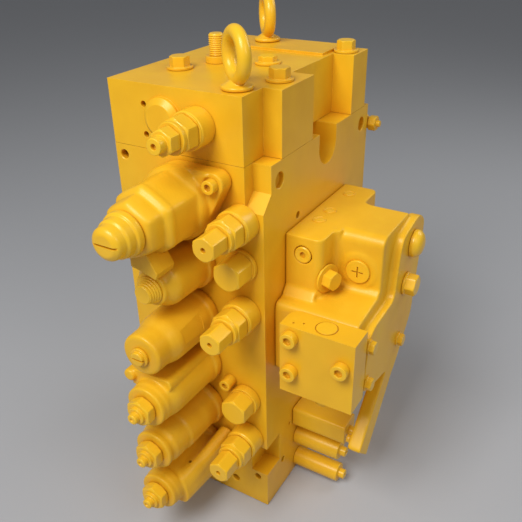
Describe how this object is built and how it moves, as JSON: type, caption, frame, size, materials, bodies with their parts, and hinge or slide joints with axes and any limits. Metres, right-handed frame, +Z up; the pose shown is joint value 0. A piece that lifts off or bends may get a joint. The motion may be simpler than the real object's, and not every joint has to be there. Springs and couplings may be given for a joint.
{
  "type": "hydraulic control valve",
  "caption": "Upright painted directional control valve block with spring caps and relief cartridges in front, a lifting-eye top cover and a bolted side valve block.",
  "frame": {"origin": "centre of the main body's flat underside", "axes": "+Z up, spool bores along Y with the caps and cartridges on the -Y face, side valve block on the +X face, service ports on the -X face"},
  "size_m": [0.3003, 0.4199, 0.5813],
  "materials": {
    "painted_body": "thick semi-gloss machinery paint over a machined casting",
    "painted_casting": "thick semi-gloss machinery paint over a rough casting",
    "painted_fitting": "semi-gloss machinery paint over machined steel",
    "ground_steel": "ground and hardened",
    "spring_steel": "oiled spring wire"
  },
  "bodies": {
    "valve_body": {"main_body": "painted_body", "top_block": "painted_body", "eye_bolt_front": "painted_fitting", "eye_bolt_rear": "painted_fitting", "top_bolt_left": "painted_fitting", "top_bolt_right": "painted_fitting", "top_bolt_rear": "painted_fitting", "top_flange_bolt": "painted_fitting", "top_stud": "painted_fitting", "relief_housing_1": "painted_fitting", "relief_housing_2": "painted_fitting", "relief_housing_3": "painted_fitting", "relief_housing_4": "painted_fitting", "upper_hex_plug": "painted_fitting", "lower_hex_plug": "painted_fitting", "bonnet_screw": "painted_fitting", "front_screw": "painted_fitting", "spring_1": "spring_steel", "cap_1": "painted_casting", "spring_2": "spring_steel", "cap_2": "painted_casting", "spring_3": "spring_steel", "cap_3": "painted_casting", "spring_4": "spring_steel", "cap_4": "painted_casting", "spring_5": "spring_steel", "cap_5": "painted_casting", "spring_6": "spring_steel", "cap_6": "painted_casting", "rear_cover": "painted_casting", "side_casting": "painted_casting", "cover_block": "painted_casting", "rear_plug": "painted_fitting", "cover_screw_1": "painted_fitting", "cover_screw_2": "painted_fitting", "cover_screw_3": "painted_fitting", "socket_plug": "painted_fitting", "cross_plug": "painted_fitting", "flanged_plug": "painted_fitting", "dome_plug": "painted_fitting", "side_hex_plug": "painted_fitting", "pilot_cylinder_1": "painted_fitting", "pilot_cylinder_2": "painted_fitting", "pilot_cylinder_3": "painted_fitting"},
    "relief_adjuster_1_body": {"relief_adjuster_1": "painted_fitting"},
    "relief_adjuster_2_body": {"relief_adjuster_2": "painted_fitting"},
    "relief_adjuster_3_body": {"relief_adjuster_3": "painted_fitting"},
    "relief_adjuster_4_body": {"relief_adjuster_4": "painted_fitting"},
    "spool_1_body": {"spool_1": "ground_steel"},
    "spool_2_body": {"spool_2": "ground_steel"},
    "spool_3_body": {"spool_3": "ground_steel"},
    "spool_4_body": {"spool_4": "ground_steel"},
    "spool_5_body": {"spool_5": "ground_steel"},
    "spool_6_body": {"spool_6": "ground_steel"},
    "stroke_screw_1_body": {"stroke_screw_1": "painted_fitting"},
    "stroke_screw_2_body": {"stroke_screw_2": "painted_fitting"},
    "stroke_screw_3_body": {"stroke_screw_3": "painted_fitting"},
    "stroke_screw_4_body": {"stroke_screw_4": "painted_fitting"},
    "stroke_screw_5_body": {"stroke_screw_5": "painted_fitting"},
    "stroke_screw_6_body": {"stroke_screw_6": "painted_fitting"}
  },
  "joints": [
    {"name": "spool_1_slide", "type": "slide", "parent": "valve_body", "child": "spool_1_body", "axis": [0, -1, 0], "range_m": [-0.008, 0.008], "stiffness_N_per_m": 9000, "deforming": ["spring_1"]},
    {"name": "spool_2_slide", "type": "slide", "parent": "valve_body", "child": "spool_2_body", "axis": [0, -1, 0], "range_m": [-0.008, 0.008], "stiffness_N_per_m": 9000, "deforming": ["spring_2"]},
    {"name": "spool_3_slide", "type": "slide", "parent": "valve_body", "child": "spool_3_body", "axis": [0, -1, 0], "range_m": [-0.008, 0.008], "stiffness_N_per_m": 9000, "deforming": ["spring_3"]},
    {"name": "spool_4_slide", "type": "slide", "parent": "valve_body", "child": "spool_4_body", "axis": [0, -1, 0], "range_m": [-0.008, 0.008], "stiffness_N_per_m": 9000, "deforming": ["spring_4"]},
    {"name": "spool_5_slide", "type": "slide", "parent": "valve_body", "child": "spool_5_body", "axis": [0, -1, 0], "range_m": [-0.008, 0.008], "stiffness_N_per_m": 9000, "deforming": ["spring_5"]},
    {"name": "spool_6_slide", "type": "slide", "parent": "valve_body", "child": "spool_6_body", "axis": [0, -1, 0], "range_m": [-0.008, 0.008], "stiffness_N_per_m": 9000, "deforming": ["spring_6"]},
    {"name": "stroke_screw_1_turn", "type": "hinge", "parent": "valve_body", "child": "stroke_screw_1_body", "pos_m": [0, -0.2266, 0.072], "axis": [0, -1, 0], "range_deg": [-180, 180]},
    {"name": "stroke_screw_2_turn", "type": "hinge", "parent": "valve_body", "child": "stroke_screw_2_body", "pos_m": [0, -0.2266, 0.138], "axis": [0, -1, 0], "range_deg": [-180, 180]},
    {"name": "stroke_screw_3_turn", "type": "hinge", "parent": "valve_body", "child": "stroke_screw_3_body", "pos_m": [0, -0.2296, 0.204], "axis": [0, -1, 0], "range_deg": [-180, 180]},
    {"name": "stroke_screw_4_turn", "type": "hinge", "parent": "valve_body", "child": "stroke_screw_4_body", "pos_m": [0, -0.2256, 0.27], "axis": [0, -1, 0], "range_deg": [-180, 180]},
    {"name": "stroke_screw_5_turn", "type": "hinge", "parent": "valve_body", "child": "stroke_screw_5_body", "pos_m": [0, -0.1996, 0.336], "axis": [0, -1, 0], "range_deg": [-180, 180]},
    {"name": "stroke_screw_6_turn", "type": "hinge", "parent": "valve_body", "child": "stroke_screw_6_body", "pos_m": [0, -0.2226, 0.41], "axis": [0, -1, 0], "range_deg": [-180, 180]},
    {"name": "relief_adjuster_1_turn", "type": "hinge", "parent": "valve_body", "child": "relief_adjuster_1_body", "pos_m": [0.02, -0.1726, 0.4868], "axis": [0, -1, 0], "range_deg": [-180, 180]},
    {"name": "relief_adjuster_2_turn", "type": "hinge", "parent": "valve_body", "child": "relief_adjuster_2_body", "pos_m": [0.066, -0.1726, 0.396], "axis": [0, -1, 0], "range_deg": [-180, 180]},
    {"name": "relief_adjuster_3_turn", "type": "hinge", "parent": "valve_body", "child": "relief_adjuster_3_body", "pos_m": [0.066, -0.1726, 0.289], "axis": [0, -1, 0], "range_deg": [-180, 180]},
    {"name": "relief_adjuster_4_turn", "type": "hinge", "parent": "valve_body", "child": "relief_adjuster_4_body", "pos_m": [0.066, -0.1726, 0.11], "axis": [0, -1, 0], "range_deg": [-180, 180]}
  ]
}
